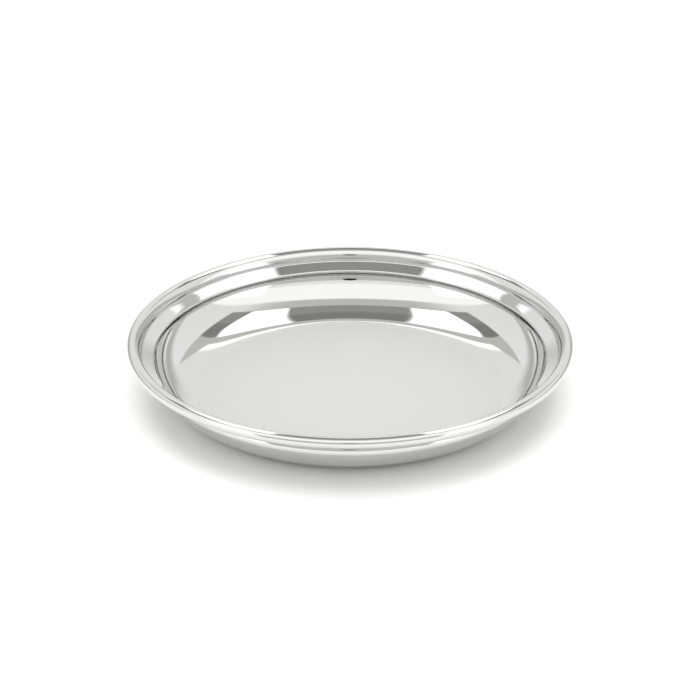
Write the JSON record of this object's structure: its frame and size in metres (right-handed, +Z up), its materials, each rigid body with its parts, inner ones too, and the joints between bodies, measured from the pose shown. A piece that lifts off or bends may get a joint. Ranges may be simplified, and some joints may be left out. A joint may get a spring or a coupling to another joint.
{
  "type": "serving plate",
  "caption": "Shallow round polished-steel plate with a flat floor, a curved wall, a stepped neck and a fat rolled rim stiffened by a wire.",
  "frame": {"origin": "middle of the flat underside, on the surface that the plate stands on", "axes": "+Z up along the plate's axis of symmetry, out of the open side; +X and +Y in the plane of the floor"},
  "size_m": [0.28, 0.28, 0.0385],
  "materials": {
    "polished_steel": "mirror polished",
    "drawn_wire": "drawn, dull"
  },
  "bodies": {
    "root": {"pressed_dish": "polished_steel", "rim_wire": "drawn_wire"}
  },
  "joints": []
}
